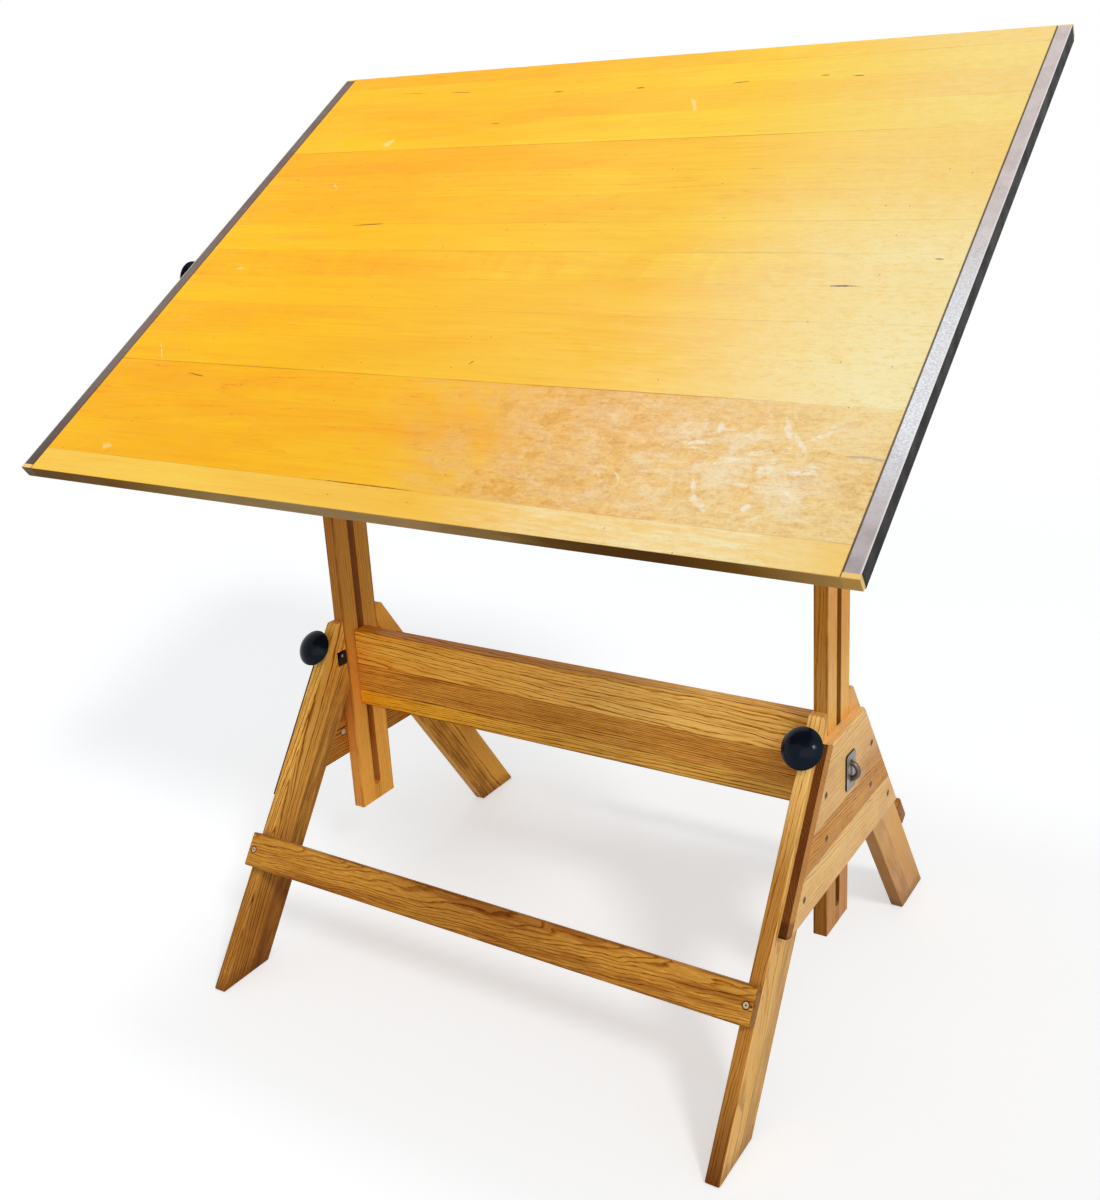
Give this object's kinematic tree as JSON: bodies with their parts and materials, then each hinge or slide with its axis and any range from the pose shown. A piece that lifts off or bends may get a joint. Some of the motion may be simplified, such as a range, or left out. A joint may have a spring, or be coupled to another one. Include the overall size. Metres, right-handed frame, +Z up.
{
  "type": "drafting table",
  "caption": "Free-standing wooden drafting table with a tilting glued-strip top on slotted masts that slide in an A-frame base and clamp with knobs.",
  "frame": {"origin": "On the floor, under the centre of the whole table's bounding box at rest.", "axes": "+X to the user's right along the front edge, +Y away from the user, +Z up."},
  "size_m": [1.313, 0.8092, 1.3258],
  "materials": {
    "oak": "satin varnish",
    "top_wood": "worn satin varnish",
    "batten_wood": "satin varnish",
    "cap_steel": "dull, scuffed",
    "knob_black": "glossy",
    "shoe_black": "matt",
    "stud_white": "satin",
    "bushing_brass": "dull",
    "dull_steel": "dull zinc plate",
    "screw_brass": "worn",
    "screw_bronze": "dark oxide"
  },
  "bodies": {
    "base": {"clamp_bushings": "bushing_brass", "front_leg_left": "oak", "front_leg_right": "oak", "front_stretcher": "oak", "guide_studs": "stud_white", "panel_screws": "screw_bronze", "rear_leg_left": "oak", "rear_leg_right": "oak", "rear_stretcher": "oak", "side_panel_left_lower": "oak", "side_panel_left_middle": "oak", "side_panel_left_upper": "oak", "side_panel_right_lower": "oak", "side_panel_right_middle": "oak", "side_panel_right_upper": "oak", "stretcher_screws": "screw_brass", "tie_loops": "dull_steel", "tie_nuts": "dull_steel", "tie_plates": "dull_steel", "wide_rail_lower": "oak", "wide_rail_middle": "oak", "wide_rail_upper": "oak"},
    "shoe_left": {"clamp_shoe_left": "shoe_black", "shoe_screw_left": "dull_steel"},
    "shoe_right": {"clamp_shoe_right": "shoe_black", "shoe_screw_right": "dull_steel"},
    "knob_left": {"clamp_knob_left": "knob_black", "clamp_rod_left": "dull_steel"},
    "knob_right": {"clamp_knob_right": "knob_black", "clamp_rod_right": "dull_steel"},
    "masts": {"mast_left": "oak", "mast_right": "oak", "mast_spacer_tube": "dull_steel"},
    "top": {"batten_left": "batten_wood", "batten_right": "batten_wood", "bearer_screws": "screw_bronze", "edge_cap_left": "cap_steel", "edge_cap_right": "cap_steel", "plank_01": "top_wood", "plank_02": "top_wood", "plank_03": "top_wood", "plank_04": "top_wood", "plank_05": "top_wood", "plank_06": "top_wood", "plank_07": "top_wood", "plank_08": "top_wood", "plank_09": "top_wood", "plank_10": "top_wood", "plank_11": "top_wood", "plank_12": "top_wood", "plank_13": "top_wood", "plank_14": "top_wood", "plank_15": "top_wood", "plank_16": "top_wood", "tilt_bearer_left": "oak", "tilt_bearer_right": "oak", "tilt_rod": "dull_steel", "rod_end_nut": "dull_steel"},
    "tilt_sleeve": {"tilt_sleeve": "dull_steel"},
    "tilt_knob": {"tilt_knob": "knob_black"}
  },
  "joints": [
    {"name": "mast_height", "type": "slide", "parent": "base", "child": "masts", "axis": [0, 0, 1], "range_m": [-0.12, 0.195]},
    {"name": "top_tilt", "type": "hinge", "parent": "masts", "child": "top", "pos_m": [0.0469, 0.01976, 1.022], "axis": [1, 0, 0], "range_deg": [-34, 41]},
    {"name": "tilt_sleeve_slide", "type": "slide", "parent": "top", "child": "tilt_sleeve", "axis": [1, 0, 0], "range_m": [-0.00238, 0]},
    {"name": "tilt_knob_turn", "type": "hinge", "parent": "tilt_sleeve", "child": "tilt_knob", "pos_m": [-0.6431, 0.01976, 1.022], "axis": [1, 0, 0], "range_deg": [-540, 0]},
    {"name": "clamp_advance_left", "type": "slide", "parent": "base", "child": "shoe_left", "axis": [0, 0.8251, -0.565], "range_m": [-0.0024, 0]},
    {"name": "clamp_turn_left", "type": "hinge", "parent": "shoe_left", "child": "knob_left", "pos_m": [-0.3698, -0.06325, 0.444], "axis": [0, 0.8251, -0.565], "range_deg": [-540, 0]},
    {"name": "clamp_advance_right", "type": "slide", "parent": "base", "child": "shoe_right", "axis": [0, 0.8251, -0.565], "range_m": [-0.0024, 0]},
    {"name": "clamp_turn_right", "type": "hinge", "parent": "shoe_right", "child": "knob_right", "pos_m": [0.4636, -0.06325, 0.444], "axis": [0, 0.8251, -0.565], "range_deg": [-540, 0]}
  ],
  "couplings": [
    {"joint": "tilt_knob_turn", "follows": "tilt_sleeve_slide", "rad_per_m": 3957.9},
    {"joint": "clamp_advance_left", "follows": "clamp_turn_left", "m_per_rad": 0.00025266},
    {"joint": "clamp_advance_right", "follows": "clamp_turn_right", "m_per_rad": 0.00025266}
  ]
}
